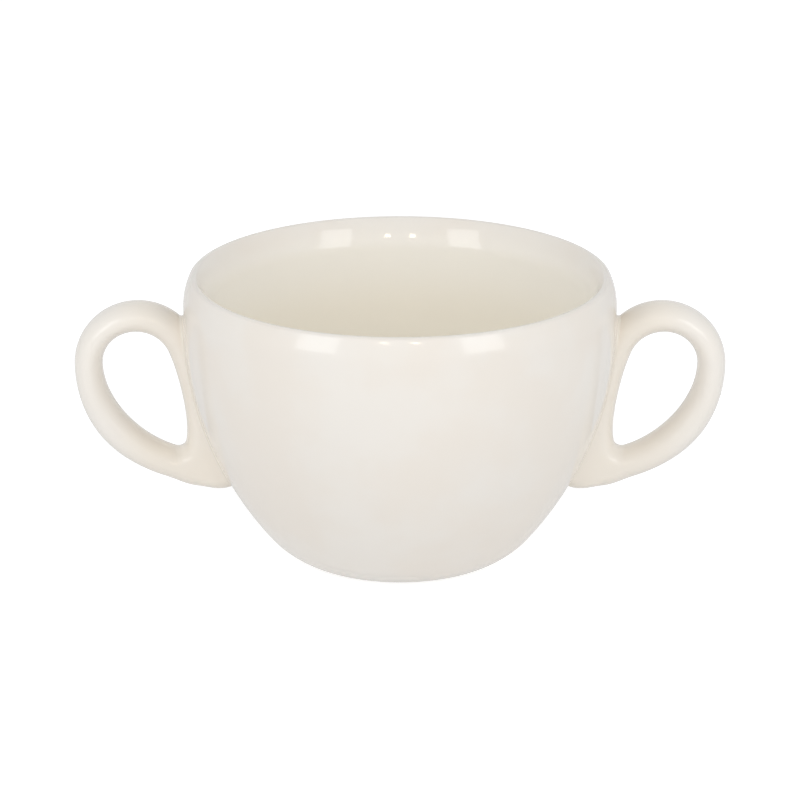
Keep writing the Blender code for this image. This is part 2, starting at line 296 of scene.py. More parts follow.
def inside_profile(body):
    """Returns the inside from the floor's centre to just short of the lip's crest."""
    side_radius, side_centre = side_circle(body)
    inner_radius = side_radius - body.wall
    rise = side_centre[1] - body.floor_height - body.inner_corner
    run = math.sqrt((inner_radius - body.inner_corner) ** 2 - rise ** 2)
    corner_centre = (side_centre[0] + run, body.floor_height + body.inner_corner)
    meeting = -math.atan2(rise, run)
    floor = [(part * corner_centre[0], body.floor_height) for part in (0.0, *FLOOR_RINGS)]
    corner = arc(corner_centre, body.inner_corner, -math.pi / 2.0, meeting, CORNER_STEPS)
    side = arc(side_centre, inner_radius, meeting, 0.0, SIDE_STEPS)
    crest_place = body.body_radius - body.lip_outer_width
    lip = [(crest_place - out, height) for out, height in lip_inside(body)[:0:-1]]
    return floor + corner + side[1:] + lip


def outside_profile(body, offset):
    """Returns the outside below the lip, from the belly to the foot's edge, grown by an offset."""
    side_radius, side_centre = side_circle(body)
    toe_angle = math.asin((body.belly_height - body.toe_height) / side_radius)
    side = arc(side_centre, side_radius + offset, 0.0, -toe_angle, SIDE_STEPS)
    normal = (-math.cos(toe_angle), math.sin(toe_angle))
    reach = (body.toe_radius - body.foot_radius, body.toe_height)
    toe_radius = -(reach[0] ** 2 + reach[1] ** 2) / (2.0 * (normal[0] * reach[0] + normal[1] * reach[1]))
    toe_centre = (body.toe_radius + normal[0] * toe_radius, body.toe_height + normal[1] * toe_radius)
    end = math.atan2(-toe_centre[1], body.foot_radius - toe_centre[0])
    toe = arc(toe_centre, toe_radius + offset, -toe_angle, end, TOE_STEPS)
    return side + toe[1:]


def body_profile(body):
    """Returns the whole profile, from the floor's centre over the lip to the centre underneath."""
    crest_place = body.body_radius - body.lip_outer_width
    outer_lip = [(crest_place + out, height) for out, height in lip_outside(body)]
    face_inner = body.foot_radius - body.foot_face
    hollow_edge = face_inner - body.foot_lean
    foot = [(face_inner, 0.0), (hollow_edge, body.foot_recess)]
    hollow = [(hollow_edge * part, body.foot_recess) for part in (*FLOOR_RINGS[::-1], 0.0)]
    return inside_profile(body) + outer_lip + outside_profile(body, 0.0) + foot + hollow


def wall_distance(body, point):
    """Returns how far a point lies outside the body's wall, and the wall's normal there."""
    side_radius, side_centre = side_circle(body)
    out = math.hypot(point.x, point.y)
    if point.z >= body.belly_height:
        return out - body.body_radius, Vector((point.x / out, point.y / out, 0.0))
    across = out - side_centre[0]
    drop = point.z - side_centre[1]
    reach = math.hypot(across, drop)
    slope = across / reach
    return reach - side_radius, Vector((slope * point.x / out, slope * point.y / out, drop / reach))


def ease(part):
    """Goes from 0 to 1 with a level start and end."""
    return 0.5 - 0.5 * math.cos(math.pi * part)


def smooth_side(start, start_angle, end, end_angle, reaches, part):
    """Returns a point on the curve between the hole's two ends and its outward normal."""
    span = math.dist(start, end)
    leave = direction(start_angle + math.pi / 2.0)
    arrive = direction(end_angle + math.pi / 2.0)
    corners = (start,
               (start[0] + leave[0] * reaches[0] * span, start[1] + leave[1] * reaches[0] * span),
               (end[0] - arrive[0] * reaches[1] * span, end[1] - arrive[1] * reaches[1] * span),
               end)
    rest = 1.0 - part
    weights = (rest ** 3, 3.0 * rest ** 2 * part, 3.0 * rest * part ** 2, part ** 3)
    slopes = (-rest ** 2, rest ** 2 - 2.0 * rest * part, 2.0 * rest * part - part ** 2, part ** 2)
    point = tuple(sum(w * c[axis] for w, c in zip(weights, corners)) for axis in (0, 1))
    slope = tuple(sum(s * c[axis] for s, c in zip(slopes, corners)) for axis in (0, 1))
    size = math.hypot(*slope)
    return point, (slope[1] / size, -slope[0] / size)


def handle_station(body, handle, place):
    """Returns the hole's point, its normal and the ring's thickness at a place round the handle.

    Places 0 to 1 are the crown, 1 to 2 the strap on the wall, 2 to 3 the low corner, 3 to 4 the arm.
    """
    side_radius, side_centre = side_circle(body)
    crown = (body.body_radius + handle.crown_out, body.belly_height - handle.crown_drop)
    corner_height = body.belly_height - handle.corner_drop
    wall_out = side_centre[0] + math.sqrt(side_radius ** 2 - (side_centre[1] - corner_height) ** 2)
    corner = (wall_out + handle.corner_out, corner_height)
    ends = ((crown, handle.crown_radius, 0.0, handle.crown_end),
            (corner, handle.corner_radius, handle.corner_start, handle.corner_end))
    reaches = ((handle.strap_leave, handle.strap_arrive), (handle.arm_leave, handle.arm_arrive))

    # Each stretch's first and last thickness, its extra fullness and the share over which that lasts
    thicknesses = ((handle.side_thickness, handle.top_thickness, 0.0, 1.0),
                   (handle.top_thickness, handle.web_thickness, 0.0, 1.0),
                   (handle.web_thickness, handle.low_thickness, handle.web_swell, WEB_SWELL_END),
                   (handle.low_thickness, handle.side_thickness, handle.arm_swell, 1.0))

    stretch = int(place) % 4
    half = stretch // 2
    part = place - int(place)
    centre, radius, start_angle, end_angle = ends[half]
    if stretch % 2 == 0:
        point, normal = on_circle(centre, radius, start_angle + (end_angle - start_angle) * part)
    else:
        next_centre, next_radius, next_angle = ends[1 - half][:3]
        start = on_circle(centre, radius, end_angle)[0]
        end = on_circle(next_centre, next_radius, next_angle)[0]
        point, normal = smooth_side(start, end_angle, end, next_angle, reaches[half], part)
    first, last, swell, swell_end = thicknesses[stretch]
    fullness = swell * math.sin(math.pi * min(1.0, part / swell_end)) ** 2
    return point, normal, first + (last - first) * ease(part) + fullness


def section_spread(handle, thickness, turn):
    """Returns how far a thick section's point is drawn out from the oval at the hole's side.

    The turn is 1 on the section's outer side and -1 on the hole's side. Both of its edges stay oval,
    and the stretch between them is nearly flat.
    """
    spare = max(0.0, thickness - handle.oval_thickness)
    part = min(1.0, max(0.0, 0.5 + 0.5 * turn / FLAT_SPREAD))
    return spare * part * part * (3.0 - 2.0 * part)


def handle_skin(body, handle, place, angle):
    """Returns a point on the handle's surface: angle 0 is its outer side and pi its hole side."""
    point, normal, thickness = handle_station(body, handle, place)
    turn = math.cos(angle)
    oval = min(thickness, handle.oval_thickness)
    reach = 0.5 * oval * (1.0 + turn) + section_spread(handle, thickness, turn)
    return Vector((point[0] + normal[0] * reach, 0.5 * handle.depth * math.sin(angle),
                   point[1] + normal[1] * reach))


def handle_normal(body, handle, place, angle):
    """Returns the handle's outward normal at a place and an angle."""
    ahead, behind = (handle_skin(body, handle, place + step, angle) for step in (NORMAL_STEP, -NORMAL_STEP))
    over, under = (handle_skin(body, handle, place, angle + step) for step in (NORMAL_STEP, -NORMAL_STEP))
    normal = (ahead - behind).cross(over - under).normalized()
    point, outward, thickness = handle_station(body, handle, place)
    half = 0.5 * thickness
    middle = Vector((point[0] + half * outward[0], 0.0, point[1] + half * outward[1]))
    return normal if normal.dot(handle_skin(body, handle, place, angle) - middle) > 0.0 else -normal


def clear_selection():
    """Leaves object mode with nothing selected."""
    if bpy.context.mode != "OBJECT":
        bpy.ops.object.mode_set(mode="OBJECT")
    bpy.ops.object.select_all(action="DESELECT")


def select_only(piece):
    """Leaves object mode with one piece selected and active."""
    clear_selection()
    piece.select_set(True)
    bpy.context.view_layer.objects.active = piece


def named_object(name):
    """Names the object that was just added, and its data, and returns it."""
    thing = bpy.context.object
    thing.name = name
    thing.data.name = name
    return thing


def turn_profile(name, profile):
    """Draws a profile point by point with extrude and spins it round the Z axis."""
    clear_selection()
    bpy.ops.mesh.primitive_plane_add(size=START_SIZE, location=(0.0, 0.0, 0.0))
    piece = named_object(name)
    bpy.ops.object.mode_set(mode="EDIT")
    bpy.ops.mesh.select_all(action="SELECT")
    bpy.ops.mesh.merge(type="CENTER")
    bpy.ops.transform.translate(value=(profile[0][0], 0.0, profile[0][1]))
    for (radius, height), (next_radius, next_height) in zip(profile, profile[1:]):
        step = (next_radius - radius, 0.0, next_height - height)
        bpy.ops.mesh.extrude_region_move(TRANSFORM_OT_translate={"value": step})
    bpy.ops.mesh.select_all(action="SELECT")
    bpy.ops.mesh.spin(steps=TURN_STEPS, angle=2.0 * math.pi, center=(0.0, 0.0, 0.0),
                      axis=(0.0, 0.0, 1.0))
    bpy.ops.mesh.select_all(action="SELECT")
    bpy.ops.mesh.remove_doubles(threshold=WELD_DISTANCE)
    bpy.ops.mesh.normals_make_consistent(inside=False)
    return piece


def round_foot_edges(piece, body):
    """Bevels the two edges of the flat ring that the bowl stands on."""
    bpy.ops.mesh.select_all(action="DESELECT")
    bpy.ops.mesh.select_mode(type="EDGE")
    mesh = bmesh.from_edit_mesh(piece.data)
    rings = (body.foot_radius, body.foot_radius - body.foot_face)
    for edge in mesh.edges:
        ends = [(math.hypot(v.co.x, v.co.y), v.co.z) for v in edge.verts]
        for ring in rings:
            if all(max(abs(out - ring), abs(height)) < EDGE_TOLERANCE for out, height in ends):
                edge.select_set(True)
    bmesh.update_edit_mesh(piece.data)
    bpy.ops.mesh.bevel(offset=body.foot_edge, segments=FOOT_EDGE_STEPS, affect="EDGES")
    bpy.ops.mesh.select_mode(type="VERT")


def finish_piece(piece, material, node):
    """Smooths a piece, gives it its material and puts it in the place of its CAD node."""
    select_only(piece)
    bpy.ops.object.shade_smooth_by_angle(angle=SMOOTH_ANGLE)
    piece.data.materials.clear()
    piece.data.materials.append(material)
    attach(piece, "root")
    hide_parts(node)


def copy_to_left(piece, name):
    """Copies a right-hand piece to the left by half a turn round the bowl's axis."""
    select_only(piece)
    bpy.ops.object.duplicate(linked=False)
    copy = named_object(name)
    bpy.ops.transform.rotate(value=math.pi, orient_axis="Z", center_override=(0.0, 0.0, 0.0))
    bpy.ops.object.transform_apply(location=True, rotation=True, scale=True)
    return copy


def add_section(body, handle, place):
    """Adds the handle's oval section at a place, at the hole's side of the ring."""
    point, normal, thickness = handle_station(body, handle, place)
    oval = min(thickness, handle.oval_thickness)
    middle = (point[0] + 0.5 * oval * normal[0], 0.0, point[1] + 0.5 * oval * normal[1])
    turn = -math.atan2(normal[1], normal[0])
    bpy.ops.mesh.primitive_circle_add(vertices=SECTION_STEPS, radius=0.5 * oval, location=middle,
                                      rotation=(0.0, turn, 0.0))
    bpy.ops.transform.resize(value=(1.0, handle.depth / oval, 1.0), center_override=middle)


def draw_out_sections(piece, body, handle, places):
    """Draws the thick sections out towards the wall, so that the web is flat between its edges."""
    mesh = bmesh.from_edit_mesh(piece.data)
    mesh.verts.ensure_lookup_table()
    for section, place in enumerate(places):
        point, normal, thickness = handle_station(body, handle, place)
        outward = Vector((normal[0], 0.0, normal[1]))
        oval = min(thickness, handle.oval_thickness)
        for step in range(SECTION_STEPS):
            vert = mesh.verts[section * SECTION_STEPS + step]
            reach = outward.dot(vert.co - Vector((point[0], 0.0, point[1])))
            vert.co += outward * section_spread(handle, thickness, 2.0 * reach / oval - 1.0)
    bmesh.update_edit_mesh(piece.data)


def loft_ring(name, body, handle):
    """Adds the handle's oval sections one by one and bridges them into a closed ring."""
    places = []
    for stretch, steps in enumerate(STRETCH_STEPS):
        places += [stretch + step / steps for step in range(steps)]
    clear_selection()
    add_section(body, handle, places[0])
    piece = named_object(name)
    bpy.ops.object.transform_apply(location=True, rotation=True, scale=True)
    bpy.ops.object.mode_set(mode="EDIT")
    for place in places[1:]:
        add_section(body, handle, place)
    draw_out_sections(piece, body, handle, places)
    for section in range(len(places)):
        bridge_sections(piece, section, (section + 1) % len(places))
    bpy.ops.mesh.select_all(action="SELECT")
    bpy.ops.mesh.normals_make_consistent(inside=False)
    bpy.ops.object.mode_set(mode="OBJECT")
    return piece


def bridge_sections(piece, first, second):
    """Bridges two of the handle's sections, counted in the order that they were added."""
    bpy.ops.mesh.select_all(action="DESELECT")
    mesh = bmesh.from_edit_mesh(piece.data)
    mesh.verts.ensure_lookup_table()
    for section in (first, second):
        loop = [mesh.verts[section * SECTION_STEPS + step] for step in range(SECTION_STEPS)]
        for step, vert in enumerate(loop):
            mesh.edges.get((vert, loop[(step + 1) % SECTION_STEPS])).select_set(True)
    bmesh.update_edit_mesh(piece.data)
    bpy.ops.mesh.bridge_edge_loops(type="SINGLE")


def trim_to_wall(piece, body, handle):
    """Cuts away what lies within the wall, so the ring's back follows the wall's curve."""
    outside = outside_profile(body, handle.bedding)
    upright = (outside[0][0], body.rim_height)
    profile = [(0.0, upright[1]), upright] + outside + [(0.0, outside[-1][1])]
    cutter = turn_profile("wall_cutter", profile)
    select_only(piece)
    trim = piece.modifiers.new("trim_to_wall", "BOOLEAN")
    trim.operation = "DIFFERENCE"
    trim.solver = "EXACT"
    trim.object = cutter
    bpy.ops.object.modifier_apply(modifier=trim.name)
    bpy.data.objects.remove(cutter, do_unlink=True)


def fillet_miss(body, handle, place, angle):
    """Returns how far a ball that rests on the handle is from resting on the wall too."""
    skin = handle_skin(body, handle, place, angle)
    ball = skin + handle.fillet * handle_normal(body, handle, place, angle)
    return wall_distance(body, ball)[0] - handle.fillet


def halve(function, low, high):
    """Returns where a function changes its sign between two values."""
    below = function(low) < 0.0
    for _ in range(HALVINGS):
        middle = 0.5 * (low + high)
        if (function(middle) < 0.0) == below:
            low = middle
        else:
            high = middle
    return 0.5 * (low + high)


def seam_ends(body, handle):
    """Returns the places where the handle's outer side enters the wall and leaves it again."""
    first, last = SEAM_SEARCH
    places = [first + (last - first) * step / SEARCH_STEPS for step in range(SEARCH_STEPS + 1)]
    misses = [fillet_miss(body, handle, place, 0.0) for place in places]
    ends = []
    for index in range(SEARCH_STEPS):
        if (misses[index] < 0.0) != (misses[index + 1] < 0.0):
            ends.append(halve(lambda place: fillet_miss(body, handle, place, 0.0),
                              places[index], places[index + 1]))
    if len(ends) != 2:
        raise RuntimeError("the handle should cross the wall twice, not %d times" % len(ends))
    return ends


def seam_stations(body, handle):
    """Returns evenly spaced stations down one side of the joint, as places and angles."""
    top, low = seam_ends(body, handle)
    dense = []
    for step in range(SEARCH_STEPS + 1):
        place = top + (low - top) * ease(step / SEARCH_STEPS)
        angle = 0.0
        if 0 < step < SEARCH_STEPS:
            angle = halve(lambda turn: fillet_miss(body, handle, place, turn), 0.0, math.pi)
        dense.append((place, angle, handle_skin(body, handle, place, angle)))
    run = [0.0]
    for before, after in zip(dense, dense[1:]):
        run.append(run[-1] + (after[2] - before[2]).length)
    stations = []
    index = 0
    for step in range(SEAM_STEPS + 1):
        wanted = run[-1] * step / SEAM_STEPS
        while index < SEARCH_STEPS - 1 and run[index + 1] < wanted:
            index += 1
        part = (wanted - run[index]) / (run[index + 1] - run[index])
        stations.append((dense[index][0] + part * (dense[index + 1][0] - dense[index][0]),
                         dense[index][1] + part * (dense[index + 1][1] - dense[index][1])))
    return stations


def fillet_section(body, handle, place, angle):
    """Returns the points of the fillet's section: its hollow face, then its hidden back."""
    skin = handle_skin(body, handle, place, angle)
    handle_out = handle_normal(body, handle, place, angle)
    ball = skin + handle.fillet * handle_out
    wall_out = wall_distance(body, ball)[1]
    between = math.acos(max(-1.0, min(1.0, handle_out.dot(wall_out))))
    points = [skin - handle.overlap * handle_out]
    for step in range(FILLET_STEPS + 1):
        part = step / FILLET_STEPS
        towards = (math.sin((1.0 - part) * between) * handle_out + math.sin(part * between) * wall_out)
        points.append(ball - handle.fillet * towards / math.sin(between))
    points.append(points[-1] - handle.overlap * wall_out)
    inner = points[1] + points[-2] - ball
    points.append(inner - 2.0 * handle.overlap * (handle_out + wall_out))
    return points


def lay_seam(name, body, handle):
    """Adds a torus and lays its rings along the joint as a fillet of slip."""
    sections = [fillet_section(body, handle, place, angle) for place, angle in seam_stations(body, handle)]
    mirrored = [[Vector((p.x, -p.y, p.z)) for p in section] for section in sections[-2:0:-1]]
    loop = sections + mirrored
    clear_selection()
    bpy.ops.mesh.primitive_torus_add(major_segments=len(loop), minor_segments=len(loop[0]),
                                     major_radius=START_SIZE, minor_radius=0.1 * START_SIZE,
                                     location=(0.0, 0.0, 0.0))
    piece = named_object(name)
    bpy.ops.object.mode_set(mode="EDIT")
    mesh = bmesh.from_edit_mesh(piece.data)
    mesh.verts.ensure_lookup_table()
    for ring, section in enumerate(loop):
        for step, point in enumerate(section):
            mesh.verts[ring * len(section) + step].co = point
    bmesh.update_edit_mesh(piece.data)
    bpy.ops.mesh.select_all(action="SELECT")
    bpy.ops.mesh.normals_make_consistent(inside=False)
    bpy.ops.object.mode_set(mode="OBJECT")
    return piece


def wire(tree, node, inputs):
    """Fills inputs, by name or in order, with values, sockets or other nodes' first output in use."""
    for name, source in inputs.items() if isinstance(inputs, dict) else enumerate(inputs):
        if isinstance(source, bpy.types.Node):
            source = next(output for output in source.outputs if output.enabled)
        if isinstance(source, bpy.types.NodeSocket):
            tree.links.new(source, node.inputs[name])
        else:
            node.inputs[name].default_value = source


def add_node(tree, kind, inputs=(), **settings):
    """Adds a shader node with its settings, the values of its inputs and its links."""
    node = tree.nodes.new("ShaderNode" + kind)
    for name, value in settings.items():
        setattr(node, name, value)
    wire(tree, node, inputs)
    return node


def start_material(name):
    """Returns a new material, its node tree, its shader and the object's coordinates."""
    material = bpy.data.materials.new(name)
    material.use_nodes = True
    tree = material.node_tree
    coordinates = add_node(tree, "TexCoord").outputs["Object"]
    return material, tree, tree.nodes["Principled BSDF"], coordinates


# Fired feldspar glaze, dipped and then flowed level in the kiln. It gives the eye a soft mirror
# over an even pale body, a faint cloudiness where the coat is thicker, and a barely uneven skin.
GLAZE_IOR = 1.5
GLAZE_ROUGHNESS = (0.04, 0.07)
CLOUD_SIZE = 22.0               # millimetres, thicker and thinner patches of the coat
CLOUD_RANGE = (0.35, 0.65)      # of the noise, between the thin tone and the thick one
GLOSS_SIZE = 11.0               # millimetres, glossier and duller patches
GLOSS_RANGE = (0.3, 0.7)        # of the noise, between the two ends of the roughness
SKIN_SIZE = 2.6                 # millimetres, the slight waviness of the fired skin
SKIN_DEPTH = 0.000018           # metres, drawn a little deeper than real so that it shows
SKIN_STRENGTH = 0.35
PAINTED_FILL_DEPTHS = (0.0003, 0.0095)      # metres below the rim, between which the inside is painted lighter as fill light
PAINTED_WARM_DEPTHS = (0.009, 0.025)        # and between which it is painted lighter and warmer, as warm bounce light
WEAR_START = (0.0068, 0.001)    # metres below the rim where the inside dulls, at the back and beside
WEAR_FULL = 0.0085              # and where it is dullest
WEAR_BESIDE = (0.034, 0.042)    # metres out from the middle, from the back to beside the handles
WORN_ROUGHNESS = 0.22
TOUCHED = (0.016, 0.008)        # metres below the rim, between which the outside dulls
TOUCHED_ROUGHNESS = 0.11
GATHERED_AND_SHADED = (0.073, 0.060)       # metres from the axis, between which the handles' glaze grows warmer, partly glaze gathered at the joint, partly painted warm shade
GATHERED_AND_SHADED_SHARE = 0.75           # of the handles' tone that comes from that and not from clouds
FILLET_RISE = 0.7               # share of its radius that a joint's fillet stands off the wall
FLOOR_MARGIN = 0.0005           # metres under the inside floor that still count as inside
SMOOTH = {"interpolation_type": "SMOOTHSTEP"}
METRE = 1000.0                  # millimetres: a noise has this over the size of its features as its scale

# Bare fired porcelain, wiped clean of glaze, is dull and chalky under the foot
BARE_ROUGHNESS = 0.75
BARE_RISE = 0.7                 # share of the foot edges' rounding that is wiped too

# Matt white paper under the bowl, with a fine grain that is barely seen
PAPER_GRAIN = 0.8               # millimetres
PAPER_TONE = (0.50, 0.54)


def glaze_skin(tree, shader, coordinates):
    """Gives a glaze its fired skin, which is slightly wavy, and returns its uneven roughness."""
    waves = add_node(tree, "TexNoise", {"Vector": coordinates, "Scale": METRE / SKIN_SIZE, "Detail": 2.0})
    bump = add_node(tree, "Bump", {"Strength": SKIN_STRENGTH, "Distance": SKIN_DEPTH, "Height": waves})
    wire(tree, shader, {"IOR": GLAZE_IOR, "Normal": bump})
    patches = add_node(tree, "TexNoise", {"Vector": coordinates, "Scale": METRE / GLOSS_SIZE, "Detail": 3.0})
    return add_node(tree, "MapRange", [patches, *GLOSS_RANGE, *GLAZE_ROUGHNESS])


# A mix has its factor as input 0, the two numbers as inputs 2 and 3 and the two colours as 6 and 7
def clouded(tree, coordinates, thin, thick, gathers_and_shades):
    """Mixes a glaze's two tones in clouds and, if asked, near the wall, as gathered glaze and painted shade.
    """
    clouds = add_node(tree, "TexNoise", {"Vector": coordinates, "Scale": METRE / CLOUD_SIZE, "Detail": 3.0})
    amount = add_node(tree, "MapRange", [clouds, *CLOUD_RANGE], **SMOOTH)
    if gathers_and_shades:
        place = add_node(tree, "SeparateXYZ", {"Vector": coordinates})
        out = add_node(tree, "Math", [place.outputs["X"]], operation="ABSOLUTE")
        # Painted shade: warmer towards the wall, partly glaze gathered at the joint, partly painted warm
        # shade and bounce light
        near = add_node(tree, "MapRange", [out, *GATHERED_AND_SHADED], **SMOOTH)
        amount = add_node(tree, "Mix", {0: GATHERED_AND_SHADED_SHARE, 2: amount, 3: near}, data_type="FLOAT")
    return add_node(tree, "Mix", {0: amount, 6: thin, 7: thick}, data_type="RGBA")


def arc_distance(tree, body, place):
    """Returns a node with the distance from the centre of the arc that the body's side follows."""
    centre_out, centre_height = side_circle(body)[1]
    x, y, z = (place.outputs[axis] for axis in "XYZ")
    out = add_node(tree, "Math", [x, x], operation="MULTIPLY")
    out = add_node(tree, "Math", [y, y, out], operation="MULTIPLY_ADD")
    out = add_node(tree, "Math", [out], operation="SQRT")
    across = add_node(tree, "Math", [out, centre_out], operation="SUBTRACT")
    below = add_node(tree, "MapRange", [z, centre_height, 0.0, 0.0, centre_height])
    reach = add_node(tree, "CombineXYZ", {"X": across, "Z": below})
    return add_node(tree, "VectorMath", [reach], operation="LENGTH")


def ivory_glazed_porcelain(body, glazes):
    """Returns the body's glaze, painted lighter and warmer inside as fill light, with a bare ring
    underneath.
    """
    material, tree, shader, coordinates = start_material("ivory_glazed_porcelain")
    glaze = clouded(tree, coordinates, glazes.ivory, glazes.ivory_deep, gathers_and_shades=False)
    gloss = glaze_skin(tree, shader, coordinates)
    place = add_node(tree, "SeparateXYZ", {"Vector": coordinates})
    height = place.outputs["Z"]
    rim = body.rim_height

    # Inside: nearer to the centre of the side's arc than the middle of the wall
    middle = side_circle(body)[0] - 0.5 * body.wall
    within = add_node(tree, "Math", [arc_distance(tree, body, place), middle], operation="LESS_THAN")
    floor = body.floor_height - FLOOR_MARGIN
    over_foot = add_node(tree, "Math", [height, floor], operation="GREATER_THAN")
    within = add_node(tree, "Math", [within, over_foot], operation="MULTIPLY")

    # Painted light: inside, lighter below the lip and warmer lower down, in place of fill and bounce light
    for (start, end), tone in ((PAINTED_FILL_DEPTHS, glazes.ivory_painted_fill), (PAINTED_WARM_DEPTHS, glazes.ivory_painted_warm_fill)):
        depth = add_node(tree, "MapRange", [height, rim - start, rim - end], **SMOOTH)
        amount = add_node(tree, "Math", [depth, within], operation="MULTIPLY")
        glaze = add_node(tree, "Mix", {0: amount, 6: glaze, 7: tone}, data_type="RGBA")

    # Wear: spoons and washing leave the inside a little duller, beside the handles up to the lip
    beside = add_node(tree, "Math", [place.outputs["X"]], operation="ABSOLUTE")
    begin = add_node(tree, "MapRange", [beside, *WEAR_BESIDE, *WEAR_START], **SMOOTH)
    depth = add_node(tree, "Math", [rim, height], operation="SUBTRACT")
    worn = add_node(tree, "MapRange", [depth, begin, WEAR_FULL], **SMOOTH)
    worn = add_node(tree, "Math", [worn, within], operation="MULTIPLY")
    gloss = add_node(tree, "Mix", {0: worn, 2: gloss, 3: WORN_ROUGHNESS}, data_type="FLOAT")

    # Touch: lips and stacking leave the outside of the rim a little duller too
    start, end = TOUCHED
    lip = add_node(tree, "MapRange", [height, rim - start, rim - end], **SMOOTH)
    touched = add_node(tree, "Math", [lip, within], operation="SUBTRACT", use_clamp=True)
    gloss = add_node(tree, "Mix", {0: touched, 2: gloss, 3: TOUCHED_ROUGHNESS}, data_type="FLOAT")

    # Bare ring: the foot's face is wiped clean before firing, up to just over its rounded edges
    low = add_node(tree, "Math", [height, BARE_RISE * body.foot_edge], operation="LESS_THAN")
    tint = add_node(tree, "Mix", {0: low, 6: glaze, 7: glazes.bisque}, data_type="RGBA")
    dull = add_node(tree, "Mix", {0: low, 2: gloss, 3: BARE_ROUGHNESS}, data_type="FLOAT")
    wire(tree, shader, {"Base Color": tint, "Roughness": dull})
    return material


def cream_glazed_porcelain(glazes):
    """Returns the handles' glaze, warmer towards the wall as gathered glaze and painted warm shade."""
    material, tree, shader, coordinates = start_material("cream_glazed_porcelain")
    cream = clouded(tree, coordinates, glazes.cream, glazes.cream_deep_and_shaded, gathers_and_shades=True)
    gloss = glaze_skin(tree, shader, coordinates)
    wire(tree, shader, {"Base Color": cream, "Roughness": gloss})
    return material


def pooled_and_shaded_slip_glaze(body, handle, glazes):
    """Returns the slip's glaze, body to handle tone, darker mid-way as thick glaze and painted shade."""
    material, tree, shader, coordinates = start_material("pooled_and_shaded_slip_glaze")
    ivory = clouded(tree, coordinates, glazes.ivory, glazes.ivory_deep, gathers_and_shades=False)
    cream = clouded(tree, coordinates, glazes.cream, glazes.cream_deep_and_shaded, gathers_and_shades=True)
    place = add_node(tree, "SeparateXYZ", {"Vector": coordinates})
    wall = side_circle(body)[0]
    distance = arc_distance(tree, body, place)
    rise = add_node(tree, "MapRange", [distance, wall, wall + FILLET_RISE * handle.fillet])
    blend = add_node(tree, "Mix", {0: rise, 6: ivory, 7: cream}, data_type="RGBA")
    # Painted shade: darker across the middle of the fillet, partly glaze run together in the crease, partly
    # painted shade
    swing = add_node(tree, "Math", [rise, math.pi], operation="MULTIPLY")
    pooled_and_shaded = add_node(tree, "Math", [swing], operation="SINE")
    slip = add_node(tree, "Mix", {0: pooled_and_shaded, 6: blend, 7: glazes.groove_glaze_and_shade}, data_type="RGBA")
    gloss = glaze_skin(tree, shader, coordinates)
    wire(tree, shader, {"Base Color": slip, "Roughness": gloss})
    return material


def seen_as_white(tree, mirrored_share):
    """Returns a node that is 1 for the viewer, a share for what the glaze mirrors, 0 for soft light."""
    path = add_node(tree, "LightPath").outputs
    mirrored = add_node(tree, "Math", [path["Is Glossy Ray"], mirrored_share], operation="MULTIPLY")
    direct = add_node(tree, "Math", [path["Is Camera Ray"], path["Is Transmission Ray"]],
                      operation="MAXIMUM")
    return add_node(tree, "Math", [direct, mirrored], operation="MAXIMUM")


def white_floor_paper(studio):
    """Returns the floor's matt white paper, which shows white but keeps the object's shadow."""
    material, tree, shader, coordinates = start_material("white_floor_paper")
    tree.nodes.remove(shader)
    grain = add_node(tree, "TexNoise", {"Vector": coordinates, "Scale": METRE / PAPER_GRAIN, "Detail": 2.0})
    tone = add_node(tree, "MapRange", [grain, 0.0, 1.0, *PAPER_TONE])
    paper = add_node(tree, "BsdfDiffuse", {"Color": tone})
    seen = seen_as_white(tree, studio.floor_mirrored)
    strength = add_node(tree, "Mix", {0: seen, 2: studio.floor_glow, 3: studio.floor_shown},
                        data_type="FLOAT")
    glow = add_node(tree, "Emission", {"Color": studio.floor_white, "Strength": strength})
    both = add_node(tree, "AddShader", [paper, glow])
    wire(tree, tree.nodes["Material Output"], {"Surface": both})
    return material


def light_sky(studio):
    """Sets the world: a ring of soft light under a dim ceiling, and white where the viewer sees it."""
    world = bpy.data.worlds.new("white_studio")
    bpy.context.scene.world = world
    world.use_nodes = True
    tree = world.node_tree
    towards = add_node(tree, "TexCoord").outputs["Generated"]
    place = add_node(tree, "SeparateXYZ", {"Vector": towards})
    height = place.outputs["Z"]
    levels = studio.low_level, studio.ring_level
    ring = add_node(tree, "MapRange", [height, *map(math.sin, RING_START), *levels], **SMOOTH)
    overhead = add_node(tree, "MapRange", [height, *map(math.sin, RING_END)], **SMOOTH)
    light = add_node(tree, "Mix", {0: overhead, 2: ring, 3: studio.ceiling_level}, data_type="FLOAT")
    fade = [place.outputs["Y"], *BACK_FADE, 1.0, studio.back_share]
    behind = add_node(tree, "MapRange", fade, **SMOOTH)
    light = add_node(tree, "Math", [light, behind], operation="MULTIPLY")
    seen = seen_as_white(tree, studio.sky_mirrored)
    strength = add_node(tree, "Mix", {0: seen, 2: light, 3: 1.0}, data_type="FLOAT")
    wire(tree, tree.nodes["Background"], {"Color": studio.floor_white, "Strength": strength})


def add_lamp(name, size, place, aim_height, power, tone):
    """Adds a soft lamp, round where its sides are equal, that faces a height on the bowl's axis."""
    clear_selection()
    bpy.ops.object.light_add(type="AREA", location=place)
    lamp = named_object(name)
    lamp.data.shape = "DISK" if size[0] == size[1] else "RECTANGLE"
    lamp.data.size, lamp.data.size_y = size
    lamp.data.energy = power
    lamp.data.color = tone[:3]
    facing = Vector((0.0, 0.0, aim_height)) - Vector(place)
    lamp.rotation_euler = facing.to_track_quat("-Z", "Y").to_euler()


